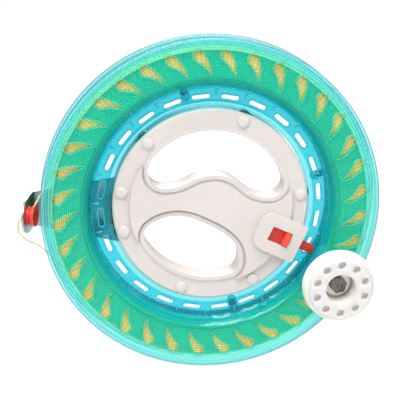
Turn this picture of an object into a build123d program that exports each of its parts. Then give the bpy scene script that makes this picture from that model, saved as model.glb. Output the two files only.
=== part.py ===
"""Kite line winder: a translucent spool wheel that turns on six ball bearings round a hand-held hub.

Millimetres. +Z is up, +X is right, and the wheel turns about Y with its front toward -Y. The origin is
on the wheel's axis, in the flat back face of the hub. Every height is measured forward from that face,
and every angle runs anticlockwise from +X as the front shows it.
"""

import os
from math import cos, pi, radians, sin, sqrt, tan

from build123d import *

os.makedirs("parts", exist_ok=True)

# Spool wheel
wheel_radius = 110.0
wheel_back_h = 2.2  # rear rim above the hub's back face
wheel_width = 20.3  # rim to rim
rim_rise = 1.7  # a rim stands out from its flange by this
rim_flat = 1.4
rim_slope = 3.4
rim_chamfer = 0.6
flange_t = 1.8
throat_radius = 84.0  # inner edge of the front flange
throat_bead_w = 2.2
throat_bead_h = 0.9
drum_radius = 79.4  # the line winds on this
drum_wall = 2.0
ring_h = 13.0  # front face of the slotted ring
ring_t = 2.4
nose_rise = 0.9  # raised inner edge of the slotted ring
race_wall = 2.4
lip_depth = 0.7  # the race's lips reach this far inward past the running surface
lip_t = 1.5
race_side_gap = 0.4

# Comma windows in the front flange
window_pitch = 10.0  # degrees
window_phase = 5.0
windows_under_crank = 2
window_head_pitch = 99.2
window_head_r = 3.4
window_head_start = -55.0  # the head's arc, from the convex side to the hollow side
window_head_arc = 185.0
window_tail_pitch = 86.0
window_tail_lag = 7.4  # the tail lies clockwise of the head
window_hook = 1.1  # depth of the hollow side

# Slots and lock teeth of the ring
slot_count = 24
slot_phase = 5.0
slot_pitch_r = 71.6
slot_length = 11.7
slot_width = 3.0
tooth_tip_r = 75.4
tooth_half_w = 2.4
tooth_h = 1.8

# Wound line
line_d = 1.2
line_sides = 8
winding_radius = 102.4
turn_count = 6
turn_pitch = 1.95
wind_gap = 0.05

# Hub
hub_radius = 64.0
hub_front_h = 15.5
parting_h = 8.0
hub_edge_chamfer = 1.2
back_edge_chamfer = 0.8
upper_opening_r = 50.3
upper_opening_start = 19.0
upper_opening_arc = 118.0
upper_wave = (((-30.5, 12.6), (1, -0.05)), ((2, 20.5), (1, -0.03)), ((38.3, 4.4), (1, 0)))
lower_opening_r = 48.9
lower_opening_start = 209.0
lower_opening_arc = 77.0
lower_wave = (((18.9, -37), (0, 1)), ((4, -16), (-0.86, 0.5)), ((-25, -5.9), (-1, -0.05)))
opening_lip_w = 2.6
opening_lip_h = 0.9
grip_margin = 4.2  # the raised grip keeps this far from the finger openings
grip_radius = 53.0
grip_rise = 2.6
boss_r = 4.0
boss_rise = 0.8

# Bearings
bearing_angles = (5.1, 69.6, 133.6, 195.4, 250.3, 298.4)
bearing_pitch_r = 59.0
bearing_r = 6.5
bearing_bore_r = 2.0
bearing_w = 5.0
bearing_back_h = 5.5
race_gap = 0.1
inner_ring_r = 3.3
ring_gap = 0.35  # between the inner and the outer ring
pocket_gap = 0.8

# Screws
screw_r = 2.0
screw_head_r = 3.8  # countersunk heads, flush with the hub's back
screw_tip_h = 14.4
wheel_screw_count = 4
wheel_screw_angle = 12.5
wheel_screw_pitch_r = 74.6
wheel_screw_r = 1.1
wheel_screw_head_r = 2.2
wheel_screw_head_t = 1.4
wheel_screw_length = 6.0
wheel_post_r = 3.0

# Brake
brake_angle = -25.5
housing_inner = 33.2
housing_outer = 64.5
housing_half_w = 12.8
housing_corner = 9.0
housing_top_h = 21.4
brake_window_inner = 42.5
brake_window_outer = 56.8
brake_window_half_w = 5.0
brake_travel = 6.0
slide_gap = 0.3
slider_inner = 42.0
slider_outer = 61.0
slider_half_w = 5.4
slider_base_h = 15.0
slider_t = 4.0
thumb_inner = 52.2
thumb_length = 4.2
thumb_proud = 1.7
bolt_half_w = 2.8
bolt_t = 3.4
bolt_tip_r = 74.8
bolt_chamfer = 1.2
retainer_t = 2.0
retainer_step = 2.0

# Crank knob
crank_angle = -31.1
crank_inset = 17.4  # the crank's axis lies this far inside the wheel's edge
crank_boss_r = 13.0
crank_web_half_w = 15.0
crank_web_inner = 75.4
crank_web_outer = 77.6
crank_web_rise = 1.6  # above the front flange
crank_seat_r = 10.6
crank_seat_wall = 2.0  # between the nut and the knob's sleeve
knob_gap = 0.4
knob_front_h = 52.5
knob_face_r = 19.4
knob_waist_r = 13.0
knob_waist_h = 30.0
knob_waist_flare = 1.5
knob_wide_r = 23.6
knob_wide_h = 42.5
knob_shoulder_r = 22.6
knob_shoulder_h = 49.0
knob_well_r = 10.0
knob_well_h = 37.4
grip_hole_count = 10
grip_hole_pitch_r = 16.2
grip_hole_r = 2.5
grip_hole_depth = 4.0
sleeve_r = 4.5
sleeve_gap = 0.06
crank_bolt_r = 3.0
crank_bolt_flats = 10.0
crank_bolt_head_t = 4.0
washer_r = 9.0
washer_t = 1.4
lock_washer_r = 5.6
lock_washer_t = 1.2
insert_flats = 10.0
insert_t = 5.0

# Line guide
sheet_t = 1.2
guide_root_x = -51.5
guide_neck_x = -112.3
guide_root_top = 19.0
guide_root_bottom = -29.0
guide_neck_top = 9.2
guide_neck_bottom = -14.0
guide_corner = 4.0
guide_bend_r = 3.0
guide_bend_angle = 74.0
guide_reach = 9.15  # from the end of the bend to the eyelet's centre
guide_nose_r = 11.3
guide_screw_angle = 169.7
guided_bearing = 3  # the bearing whose screw also holds the guide
guide_recess_gap = 0.2  # round the sheet where it is let into the hub's back
eyelet_z = -3.5
eyelet_bore_r = 3.0
eyelet_mouth_r = 5.6
eyelet_neck_r = 4.6
eyelet_collar_r = 6.0
eyelet_flange_r = 6.8
eyelet_collar_t = 1.6
eyelet_neck_t = 1.4
eyelet_flange_t = 2.0
eyelet_hole_gap = 0.05
keeper_r = 5.8
keeper_t = 1.8

# Free stretch of the line: off the winding, through the eyelet and back between the flanges
free_line_points = (
    (-94.1, -12.0, 42.7),
    (-114.3, -13.2, -2.3),
    (-123.2, -10.7, -5.0),
    (-125.6, -10.4, -13.2),
    (-121.0, -10.8, -20.2),
    (-112.6, -11.2, -23.4),
    (-104.2, -11.6, -31.2),
    (-94.1, -12.0, -42.6),
)

# Heights and radii that follow from the sizes above
wheel_front_h = wheel_back_h + wheel_width
front_flange_h = wheel_front_h - rim_rise  # outer face of the front flange
channel_front_h = front_flange_h - flange_t
rear_flange_h = wheel_back_h + rim_rise
channel_back_h = rear_flange_h + flange_t
channel_mid_h = (channel_front_h + channel_back_h) / 2
crank_radius = wheel_radius - crank_inset
crank_seat_h = channel_front_h + insert_t + crank_seat_wall
ring_back_h = ring_h - ring_t
drum_inner_r = drum_radius - drum_wall
race_r = bearing_pitch_r + bearing_r + race_gap
bearing_front_h = bearing_back_h + bearing_w
turn_radius = winding_radius - line_d / 2
core_radius = turn_radius - line_d / 2 - wind_gap

# Sketch plane of a revolved profile: radius across and height up
SECTION = Plane(origin=(0, 0, 0), x_dir=(1, 0, 0), z_dir=(0, 0, -1))


def level(height, angle=0.0):
    """The plane that faces the front at a height, turned so that its x axis lies at an angle."""
    across = (cos(radians(angle)), 0, sin(radians(angle)))
    return Plane(origin=(0, -height, 0), x_dir=across, z_dir=(0, -1, 0))


def polar(radius, angle):
    """A point of a front view at a radius and an angle."""
    return (radius * cos(radians(angle)), radius * sin(radians(angle)))


def save(piece, name):
    piece.part.label = name
    export_step(piece.part, f"parts/{name}.step")


# ---------------------------------------------------------------------------------------------------
# Outlines that several pieces share
# ---------------------------------------------------------------------------------------------------

def biarc(start, start_way, end, end_way):
    """Two arcs that leave one point and reach another along the given directions."""
    chord = end - start
    ways = start_way + end_way
    a = ways.dot(ways) - 4
    b = -2 * chord.dot(ways)
    c = chord.dot(chord)
    arm = (-b - sqrt(b * b - 4 * a * c)) / (2 * a)
    joint = (start + start_way * arm + end - end_way * arm) / 2
    TangentArc(start, joint, tangent=start_way)
    TangentArc(joint, end, tangent=(joint - (start + start_way * arm)).normalized())


# One comma window, with its head on the x axis
with BuildSketch() as window_outline:
    with BuildLine():
        head = CenterArc((window_head_pitch, 0), window_head_r, window_head_start, window_head_arc)
        tail = (window_tail_pitch, -window_tail_lag)
        TangentArc(head @ 0, tail, tangent=-(head % 0))
        SagittaArc(head @ 1, tail, window_hook)
    make_face()


def finger_opening(radius, start_angle, arc, wave):
    """An arc along the hub's edge, closed by a wavy edge through places with given directions."""
    with BuildSketch() as outline:
        with BuildLine():
            rim = CenterArc((0, 0), radius, start_angle, arc)
            places = [rim @ 1, *[Vector(place) for place, _ in wave], rim @ 0]
            ways = [rim % 1, *[Vector(way).normalized() for _, way in wave], rim % 0]
            for index in range(len(places) - 1):
                biarc(places[index], ways[index], places[index + 1], ways[index + 1])
        make_face()
    return outline


def widened(outline, margin):
    """An outline grown by a margin all round."""
    with BuildSketch() as wider:
        add(outline.sketch)
        offset(amount=margin)
    return wider


FINGER_OPENINGS = (
    finger_opening(upper_opening_r, upper_opening_start, upper_opening_arc, upper_wave),
    finger_opening(lower_opening_r, lower_opening_start, lower_opening_arc, lower_wave),
)
OPENING_LIPS = [widened(opening, opening_lip_w) for opening in FINGER_OPENINGS]
GRIP_MARGINS = [widened(opening, grip_margin) for opening in FINGER_OPENINGS]


def bearing_places():
    return Locations(*[polar(bearing_pitch_r, angle) for angle in bearing_angles])


# The part of the line guide that lies flat
with BuildSketch() as guide_outline:
    with BuildLine():
        Polyline(
            (guide_root_x, guide_root_top),
            (guide_neck_x, guide_neck_top),
            (guide_neck_x, guide_neck_bottom),
            (guide_root_x, guide_root_bottom),
            close=True,
        )
    make_face()
    fillet(vertices().group_by(Axis.X)[-1], guide_corner)

GUIDE_RECESS = widened(guide_outline, guide_recess_gap)


# ---------------------------------------------------------------------------------------------------
# Spool wheel: front moulding, rear moulding and the screws between them
# ---------------------------------------------------------------------------------------------------

with BuildPart() as wheel_front:
    with BuildSketch(SECTION):
        with BuildLine():
            Polyline(
                (wheel_radius, channel_front_h + rim_chamfer),
                (wheel_radius, wheel_front_h - rim_chamfer),
                (wheel_radius - rim_chamfer, wheel_front_h),
                (wheel_radius - rim_flat, wheel_front_h),
                (wheel_radius - rim_flat - rim_slope, front_flange_h),
                (throat_radius, front_flange_h),
                (throat_radius, front_flange_h + throat_bead_h),
                (throat_radius - throat_bead_w, front_flange_h + throat_bead_h),
                (drum_inner_r, ring_h),
                (race_r + race_wall, ring_h),
                (race_r + race_wall, ring_h + nose_rise),
                (race_r - lip_depth, ring_h + nose_rise),
                (race_r - lip_depth, bearing_front_h + race_side_gap),
                (race_r, bearing_front_h + race_side_gap),
                (race_r, bearing_back_h - race_side_gap),
                (race_r - lip_depth, bearing_back_h - race_side_gap),
                (race_r - lip_depth, bearing_back_h - race_side_gap - lip_t),
                (race_r + race_wall, bearing_back_h - race_side_gap - lip_t),
                (race_r + race_wall, ring_back_h),
                (drum_inner_r, ring_back_h),
                (drum_inner_r, channel_back_h),
                (drum_radius, channel_back_h),
                (drum_radius, ring_h),
                (throat_radius, channel_front_h),
                (wheel_radius - rim_chamfer, channel_front_h),
                close=True,
            )
        make_face()
    revolve(axis=Axis.Y)
    # Comma windows, left out where the crank boss stands
    first_window = window_phase + window_pitch * (
        round((crank_angle - window_phase) / window_pitch) + windows_under_crank // 2 + 1
    )
    window_count = round(360 / window_pitch) - windows_under_crank
    window_span = (window_count - 1) * window_pitch
    with BuildSketch(level(channel_front_h)):
        with PolarLocations(0, window_count, first_window, window_span, endpoint=True):
            add(window_outline.sketch)
    extrude(amount=flange_t, mode=Mode.SUBTRACT)
    # Slots through the ring
    with BuildSketch(level(ring_back_h)):
        with PolarLocations(slot_pitch_r, slot_count, slot_phase):
            SlotOverall(slot_length, slot_width, rotation=90)
    extrude(amount=ring_t, mode=Mode.SUBTRACT)
    # Lock teeth along the ring's outer edge, between the slots
    with BuildSketch(level(ring_h)):
        with PolarLocations(0, slot_count, slot_phase + 180 / slot_count):
            Polygon(
                (tooth_tip_r, 0),
                (drum_inner_r + tooth_h / 2, tooth_half_w),
                (drum_inner_r + tooth_h / 2, -tooth_half_w),
                align=None,
            )
    extrude(amount=tooth_h)
    # Crank boss and the web that carries it from the ring
    with BuildSketch(level(channel_front_h, crank_angle)):
        with Locations((crank_radius, 0)):
            Circle(crank_boss_r)
        Polygon(
            (crank_web_inner, -crank_web_half_w),
            (crank_web_inner, crank_web_half_w),
            (crank_radius, crank_boss_r),
            (crank_radius, -crank_boss_r),
            align=None,
        )
    extrude(amount=flange_t + crank_web_rise)
    with BuildSketch(level(ring_h, crank_angle)):
        with Locations(((crank_web_inner + crank_web_outer) / 2, 0)):
            Rectangle(crank_web_outer - crank_web_inner, 2 * crank_web_half_w)
    extrude(amount=channel_front_h - ring_h)
    with BuildSketch(level(front_flange_h, crank_angle)):
        with Locations((crank_radius, 0)):
            Circle(crank_seat_r)
    extrude(amount=crank_seat_h - front_flange_h, taper=12)
    # Nut pocket and bolt hole in the crank boss
    with BuildSketch(level(channel_front_h, crank_angle)):
        with Locations((crank_radius, 0)):
            RegularPolygon(insert_flats / 2, 6, major_radius=False)
    extrude(amount=insert_t, mode=Mode.SUBTRACT)
    with BuildSketch(level(channel_front_h, crank_angle)):
        with Locations((crank_radius, 0)):
            Circle(crank_bolt_r)
    extrude(amount=crank_seat_h - channel_front_h, mode=Mode.SUBTRACT)
    # Screw posts behind the ring
    with BuildSketch(level(channel_back_h)):
        with PolarLocations(wheel_screw_pitch_r, wheel_screw_count, wheel_screw_angle):
            Circle(wheel_post_r)
    extrude(amount=ring_back_h - channel_back_h)
    with BuildSketch(level(channel_back_h)):
        with PolarLocations(wheel_screw_pitch_r, wheel_screw_count, wheel_screw_angle):
            Circle(wheel_screw_r)
    extrude(amount=wheel_screw_length - flange_t, mode=Mode.SUBTRACT)

save(wheel_front, "wheel_front")

with BuildPart() as wheel_rear:
    with BuildSketch(SECTION):
        with BuildLine():
            Polyline(
                (drum_inner_r, rear_flange_h),
                (drum_inner_r, channel_back_h),
                (wheel_radius - rim_chamfer, channel_back_h),
                (wheel_radius, channel_back_h - rim_chamfer),
                (wheel_radius, wheel_back_h + rim_chamfer),
                (wheel_radius - rim_chamfer, wheel_back_h),
                (wheel_radius - rim_flat, wheel_back_h),
                (wheel_radius - rim_flat - rim_slope, rear_flange_h),
                close=True,
            )
        make_face()
    revolve(axis=Axis.Y)
    # Ears for the screws
    with BuildSketch(level(rear_flange_h)):
        with PolarLocations(wheel_screw_pitch_r, wheel_screw_count, wheel_screw_angle):
            SlotCenterPoint((0, 0), (wheel_post_r, 0), 2 * wheel_post_r)
    extrude(amount=flange_t)
    with BuildSketch(level(rear_flange_h)):
        with PolarLocations(wheel_screw_pitch_r, wheel_screw_count, wheel_screw_angle):
            Circle(wheel_screw_r)
    extrude(amount=flange_t, mode=Mode.SUBTRACT)

save(wheel_rear, "wheel_rear")

with BuildPart() as wheel_screws:
    with BuildSketch(level(rear_flange_h - wheel_screw_head_t)):
        with PolarLocations(wheel_screw_pitch_r, wheel_screw_count, wheel_screw_angle):
            Circle(wheel_screw_head_r)
    extrude(amount=wheel_screw_head_t)
    with BuildSketch(level(rear_flange_h)):
        with PolarLocations(wheel_screw_pitch_r, wheel_screw_count, wheel_screw_angle):
            Circle(wheel_screw_r)
    extrude(amount=wheel_screw_length)

save(wheel_screws, "wheel_screws")

# ---------------------------------------------------------------------------------------------------
# Wound line: a plain core, and the outer layer as one unbroken tube
# ---------------------------------------------------------------------------------------------------

with BuildPart() as winding_core:
    with BuildSketch(SECTION):
        with BuildLine():
            Polyline(
                (drum_radius + wind_gap, channel_back_h),
                (drum_radius + wind_gap, ring_h),
                (throat_radius + wind_gap, channel_front_h),
                (core_radius, channel_front_h),
                (core_radius, channel_back_h),
                close=True,
            )
        make_face()
    revolve(axis=Axis.Y)

save(winding_core, "winding_core")


def helix_point(quarter):
    """The middle of the line after a number of quarter turns, from the guide's side of the wheel."""
    angle = 180 - 90 * quarter
    height = channel_mid_h + turn_pitch * (quarter / 4 - turn_count / 2)
    x, z = polar(turn_radius, angle)
    return Vector(x, -height, z)


def helix_tangent(quarter):
    angle = radians(180 - 90 * quarter)
    rise = turn_pitch / (2 * pi * turn_radius)
    return Vector(sin(angle), -rise, -cos(angle)).normalized()


with BuildPart() as winding_turns:
    with BuildLine() as turns_path:
        first = helix_point(0)
        Line(first - helix_tangent(0) * line_d, first)
        for quarter in range(4 * turn_count):
            biarc(
                helix_point(quarter),
                helix_tangent(quarter),
                helix_point(quarter + 1),
                helix_tangent(quarter + 1),
            )
        last = helix_point(4 * turn_count)
        Line(last, last + helix_tangent(4 * turn_count) * line_d)
    with BuildSketch(Plane(turns_path.wire() @ 0, x_dir=(1, 0, 0), z_dir=turns_path.wire() % 0)):
        Rectangle(line_d * 0.84, line_d * 0.84, rotation=45)
    sweep()

save(winding_turns, "winding_turns")
print("least gap between turns", round(turn_pitch - line_d, 2))

# ---------------------------------------------------------------------------------------------------
# Hub: two covers, with the bearings and the brake between them
# ---------------------------------------------------------------------------------------------------

guide_screw_place = polar(bearing_pitch_r, guide_screw_angle)

with BuildPart() as hub_front_cover:
    with BuildSketch(level(parting_h)):
        Circle(hub_radius)
    extrude(amount=hub_front_h - parting_h)
    chamfer(faces().filter_by(Axis.Y).sort_by(Axis.Y)[0].edges(), hub_edge_chamfer)
    # Raised lips round the finger openings
    with BuildSketch(level(hub_front_h)):
        for lip in OPENING_LIPS:
            add(lip.sketch)
    extrude(amount=opening_lip_h)
    # Crowned grip between the openings
    with BuildSketch(level(hub_front_h)):
        Circle(grip_radius)
        for margin in GRIP_MARGINS:
            add(margin.sketch, mode=Mode.SUBTRACT)
    extrude(amount=grip_rise)
    # Bosses over the screws
    with BuildSketch(level(hub_front_h)):
        with bearing_places():
            Circle(boss_r)
        with Locations(guide_screw_place):
            Circle(boss_r)
    extrude(amount=boss_rise)
    # Brake housing, which overhangs the hub's edge
    with BuildSketch(level(hub_front_h, brake_angle)):
        with Locations(((housing_inner + housing_outer) / 2, 0)):
            Rectangle(housing_outer - housing_inner, 2 * housing_half_w)
        fillet(vertices().group_by(Axis.X)[0], housing_corner)
    extrude(amount=housing_top_h - hub_front_h)
    # The finger openings
    with BuildSketch(level(parting_h)):
        for opening in FINGER_OPENINGS:
            add(opening.sketch)
    extrude(amount=hub_front_h + opening_lip_h - parting_h, mode=Mode.SUBTRACT)
    # Bearing pockets, with a seat left for each inner ring
    with BuildSketch(level(parting_h)):
        with bearing_places():
            Circle(bearing_r + pocket_gap)
    extrude(amount=bearing_front_h + race_side_gap - parting_h, mode=Mode.SUBTRACT)
    with BuildSketch(level(bearing_front_h)):
        with bearing_places():
            Circle(inner_ring_r)
    extrude(amount=race_side_gap)
    # Screw holes
    with BuildSketch(level(parting_h)):
        with bearing_places():
            Circle(screw_r)
        with Locations(guide_screw_place):
            Circle(screw_r)
    extrude(amount=screw_tip_h - parting_h, mode=Mode.SUBTRACT)
    # Channel for the slider, a step for its retainer, the thumb window and the bolt's hole
    cavity_inner = slider_inner - brake_travel - slide_gap
    cavity_outer = slider_outer + slide_gap
    cavity_half_w = slider_half_w + slide_gap
    retainer_top_h = slider_base_h - slide_gap
    with BuildSketch(level(parting_h, brake_angle)):
        with Locations(((cavity_inner + cavity_outer) / 2, 0)):
            Rectangle(cavity_outer - cavity_inner, 2 * cavity_half_w)
    extrude(amount=slider_base_h + slider_t + slide_gap - parting_h, mode=Mode.SUBTRACT)
    with BuildSketch(level(parting_h, brake_angle)):
        with Locations(((cavity_inner + cavity_outer) / 2, 0)):
            Rectangle(cavity_outer - cavity_inner, 2 * (cavity_half_w + retainer_step))
    extrude(amount=retainer_top_h - parting_h, mode=Mode.SUBTRACT)
    with BuildSketch(level(slider_base_h, brake_angle)):
        with Locations(((brake_window_inner + brake_window_outer) / 2, 0)):
            Rectangle(brake_window_outer - brake_window_inner, 2 * brake_window_half_w)
    extrude(amount=housing_top_h - slider_base_h, mode=Mode.SUBTRACT)
    with BuildSketch(level(slider_base_h - slide_gap, brake_angle)):
        with Locations(((slider_outer + housing_outer) / 2, 0)):
            Rectangle(housing_outer - slider_outer, 2 * (bolt_half_w + slide_gap))
    extrude(amount=bolt_t + 2 * slide_gap, mode=Mode.SUBTRACT)

save(hub_front_cover, "hub_front_cover")

with BuildPart() as brake_retainer:
    with BuildSketch(level(retainer_top_h - retainer_t, brake_angle)):
        with Locations(((cavity_inner + cavity_outer) / 2, 0)):
            Rectangle(cavity_outer - cavity_inner, 2 * (cavity_half_w + retainer_step))
    extrude(amount=retainer_t)

save(brake_retainer, "brake_retainer")

with BuildPart() as hub_rear_cover:
    with BuildSketch(level(0)):
        Circle(hub_radius)
    extrude(amount=parting_h)
    chamfer(faces().filter_by(Axis.Y).sort_by(Axis.Y)[-1].edges(), back_edge_chamfer)
    with BuildSketch(level(0)):
        for opening in FINGER_OPENINGS:
            add(opening.sketch)
    extrude(amount=parting_h, mode=Mode.SUBTRACT)
    with BuildSketch(level(bearing_back_h - race_side_gap)):
        with bearing_places():
            Circle(bearing_r + pocket_gap)
            Circle(inner_ring_r, mode=Mode.SUBTRACT)
    extrude(amount=parting_h - bearing_back_h + race_side_gap, mode=Mode.SUBTRACT)
    with BuildSketch(level(bearing_back_h)):
        with bearing_places():
            Circle(inner_ring_r)
    extrude(amount=parting_h - bearing_back_h, mode=Mode.SUBTRACT)
    with BuildSketch(level(0)):
        with bearing_places():
            Circle(screw_r)
        with Locations(guide_screw_place):
            Circle(screw_r)
    extrude(amount=parting_h, mode=Mode.SUBTRACT)
    # Countersinks, and the recess for the line guide's sheet
    with BuildSketch(level(0)):
        with bearing_places():
            Circle(screw_head_r)
        with Locations(guide_screw_place):
            Circle(screw_head_r)
    extrude(amount=screw_head_r - screw_r, taper=45, mode=Mode.SUBTRACT)
    with BuildSketch(level(0)):
        add(GUIDE_RECESS.sketch)
    extrude(amount=sheet_t, mode=Mode.SUBTRACT)

save(hub_rear_cover, "hub_rear_cover")

with BuildPart() as hub_screws:
    with BuildSketch(level(0)):
        with bearing_places():
            Circle(screw_head_r)
    extrude(amount=screw_head_r - screw_r, taper=45)
    with BuildSketch(level(screw_head_r - screw_r)):
        with bearing_places():
            Circle(screw_r)
    extrude(amount=screw_tip_h - screw_head_r + screw_r)

save(hub_screws, "hub_screws")

with BuildPart() as guide_screw:
    with BuildSketch(level(0)):
        with Locations(guide_screw_place):
            Circle(screw_head_r)
    extrude(amount=screw_head_r - screw_r, taper=45)
    with BuildSketch(level(screw_head_r - screw_r)):
        with Locations(guide_screw_place):
            Circle(screw_r)
    extrude(amount=screw_tip_h - screw_head_r + screw_r)

save(guide_screw, "guide_screw")

# ---------------------------------------------------------------------------------------------------
# Bearings
# ---------------------------------------------------------------------------------------------------

with BuildPart() as bearing_inner_rings:
    with BuildSketch(level(bearing_back_h)):
        with bearing_places():
            Circle(inner_ring_r)
            Circle(bearing_bore_r, mode=Mode.SUBTRACT)
    extrude(amount=bearing_w)

save(bearing_inner_rings, "bearing_inner_rings")

for number, angle in enumerate(bearing_angles, start=1):
    with BuildPart() as bearing_outer_ring:
        with BuildSketch(level(bearing_back_h)):
            with Locations(polar(bearing_pitch_r, angle)):
                Circle(bearing_r)
                Circle(inner_ring_r + ring_gap, mode=Mode.SUBTRACT)
        extrude(amount=bearing_w)
    save(bearing_outer_ring, f"bearing_outer_ring_{number}")

# ---------------------------------------------------------------------------------------------------
# Brake slider: plate, thumb ridge and bolt in one moulding
# ---------------------------------------------------------------------------------------------------

with BuildPart() as brake_slider:
    with BuildSketch(level(slider_base_h, brake_angle)):
        with Locations(((slider_inner + slider_outer) / 2, 0)):
            Rectangle(slider_outer - slider_inner, 2 * slider_half_w)
    extrude(amount=slider_t)
    thumb_half_w = brake_window_half_w - slide_gap
    with BuildSketch(level(slider_base_h + slider_t, brake_angle)):
        with Locations((thumb_inner + thumb_length / 2, 0)):
            Rectangle(thumb_length, 2 * thumb_half_w)
    extrude(amount=housing_top_h + thumb_proud - slider_base_h - slider_t, taper=6)
    with BuildSketch(level(slider_base_h, brake_angle)):
        with Locations(((slider_outer + bolt_tip_r) / 2, 0)):
            Rectangle(bolt_tip_r - slider_outer, 2 * bolt_half_w)
        chamfer(vertices().group_by(Axis.X)[-1], bolt_chamfer)
    extrude(amount=bolt_t)

save(brake_slider, "brake_slider")

# ---------------------------------------------------------------------------------------------------
# Crank knob on its bolt
# ---------------------------------------------------------------------------------------------------

crank_x, crank_z = polar(crank_radius, crank_angle)
CRANK = Plane(origin=(crank_x, 0, crank_z), x_dir=(1, 0, 0), z_dir=(0, 0, -1))
CRANK_AXIS = Axis((crank_x, 0, crank_z), (0, -1, 0))


def crank_level(height):
    return Plane(origin=(crank_x, -height, crank_z), x_dir=(1, 0, 0), z_dir=(0, -1, 0))


with BuildPart() as knob:
    knob_back_h = crank_seat_h + knob_gap
    with BuildSketch(CRANK):
        with BuildLine():
            bore = Line((sleeve_r + sleeve_gap, knob_well_h), (sleeve_r + sleeve_gap, knob_back_h))
            back = Line(bore @ 1, (knob_waist_r, knob_back_h))
            waist = Line(back @ 1, (knob_waist_r + knob_waist_flare, knob_waist_h))
            flare = Line(waist @ 1, (knob_wide_r, knob_wide_h))
            side = Line(flare @ 1, (knob_shoulder_r, knob_shoulder_h))
            shoulder = Line(side @ 1, (knob_face_r, knob_front_h))
            face = Line(shoulder @ 1, (knob_well_r, knob_front_h))
            well = Line(face @ 1, (knob_well_r, knob_well_h))
            Line(well @ 1, bore @ 0)
        make_face()
    revolve(axis=CRANK_AXIS)
    with BuildSketch(crank_level(knob_front_h - grip_hole_depth)):
        with PolarLocations(grip_hole_pitch_r, grip_hole_count, 90):
            Circle(grip_hole_r)
    extrude(amount=grip_hole_depth, mode=Mode.SUBTRACT)

save(knob, "knob")

sleeve_top_h = knob_well_h + knob_gap

with BuildPart() as knob_sleeve:
    with BuildSketch(crank_level(crank_seat_h)):
        Circle(sleeve_r)
        Circle(crank_bolt_r, mode=Mode.SUBTRACT)
    extrude(amount=sleeve_top_h - crank_seat_h)

save(knob_sleeve, "knob_sleeve")

with BuildPart() as knob_washer:
    with BuildSketch(crank_level(sleeve_top_h)):
        Circle(washer_r)
        Circle(crank_bolt_r, mode=Mode.SUBTRACT)
    extrude(amount=washer_t)

save(knob_washer, "knob_washer")

with BuildPart() as lock_washer:
    with BuildSketch(crank_level(sleeve_top_h + washer_t)):
        Circle(lock_washer_r)
        Circle(crank_bolt_r, mode=Mode.SUBTRACT)
    extrude(amount=lock_washer_t)

save(lock_washer, "lock_washer")

with BuildPart() as crank_bolt:
    head_seat_h = sleeve_top_h + washer_t + lock_washer_t
    with BuildSketch(crank_level(head_seat_h)):
        RegularPolygon(crank_bolt_flats / 2, 6, major_radius=False, rotation=12)
    extrude(amount=crank_bolt_head_t)
    with BuildSketch(crank_level(channel_front_h)):
        Circle(crank_bolt_r)
    extrude(amount=head_seat_h - channel_front_h)

save(crank_bolt, "crank_bolt")

with BuildPart() as crank_nut:
    with BuildSketch(level(channel_front_h, crank_angle)):
        with Locations((crank_radius, 0)):
            RegularPolygon(insert_flats / 2, 6, major_radius=False)
            Circle(crank_bolt_r, mode=Mode.SUBTRACT)
    extrude(amount=insert_t)

save(crank_nut, "crank_nut")

# ---------------------------------------------------------------------------------------------------
# Line guide: bent sheet, eyelet and the keeper behind it
# ---------------------------------------------------------------------------------------------------

bend_mid_r = guide_bend_r + sheet_t / 2
bend_sin = sin(radians(guide_bend_angle))
bend_cos = cos(radians(guide_bend_angle))
# Directions of the tab as (x, height): along it, and from it toward the wheel
tab_way = (-bend_cos, bend_sin)
tab_face = (bend_sin, bend_cos)
bend_end_x = guide_neck_x - bend_mid_r * bend_sin
bend_end_h = sheet_t + guide_bend_r - bend_mid_r * bend_cos
eyelet_x = bend_end_x + guide_reach * tab_way[0]
eyelet_h = bend_end_h + guide_reach * tab_way[1]


def tab_plane(offset_to_wheel=0.0):
    """The plane across the eyelet's axis, which faces the wheel: x runs along the tab to the bend."""
    return Plane(
        origin=(
            eyelet_x + offset_to_wheel * tab_face[0],
            -eyelet_h - offset_to_wheel * tab_face[1],
            eyelet_z,
        ),
        x_dir=(-tab_way[0], tab_way[1], 0),
        z_dir=(tab_face[0], -tab_face[1], 0),
    )


with BuildPart() as line_guide:
    with BuildSketch(level(0)):
        add(guide_outline.sketch)
    extrude(amount=sheet_t)
    # Bend toward the front
    neck_mid = (guide_neck_top + guide_neck_bottom) / 2
    neck_w = guide_neck_top - guide_neck_bottom
    with BuildSketch(Plane(origin=(guide_neck_x, 0, 0), x_dir=(0, 1, 0), z_dir=(1, 0, 0))):
        with Locations((-sheet_t / 2, neck_mid)):
            Rectangle(sheet_t, neck_w)
    revolve(
        axis=Axis((guide_neck_x, -sheet_t - guide_bend_r, 0), (0, 0, 1)),
        revolution_arc=guide_bend_angle,
    )
    # Tab with a round nose about the eyelet
    with BuildSketch(tab_plane(-sheet_t / 2)):
        with BuildLine():
            CenterArc((0, 0), guide_nose_r, 0, 360)
            Line(
                (guide_reach, neck_mid - eyelet_z + neck_w / 2),
                (guide_reach, neck_mid - eyelet_z - neck_w / 2),
            )
        make_hull()
        Circle(eyelet_neck_r + eyelet_hole_gap, mode=Mode.SUBTRACT)
    extrude(amount=sheet_t)
    # Countersunk holes
    with BuildSketch(level(0)):
        with Locations(guide_screw_place, polar(bearing_pitch_r, bearing_angles[guided_bearing])):
            Circle(screw_head_r)
    extrude(amount=screw_head_r - screw_r, taper=45, mode=Mode.SUBTRACT)

save(line_guide, "line_guide")

eyelet_front = sheet_t / 2 + eyelet_collar_t + eyelet_neck_t + eyelet_flange_t
eyelet_back = -sheet_t / 2 - keeper_t

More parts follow.
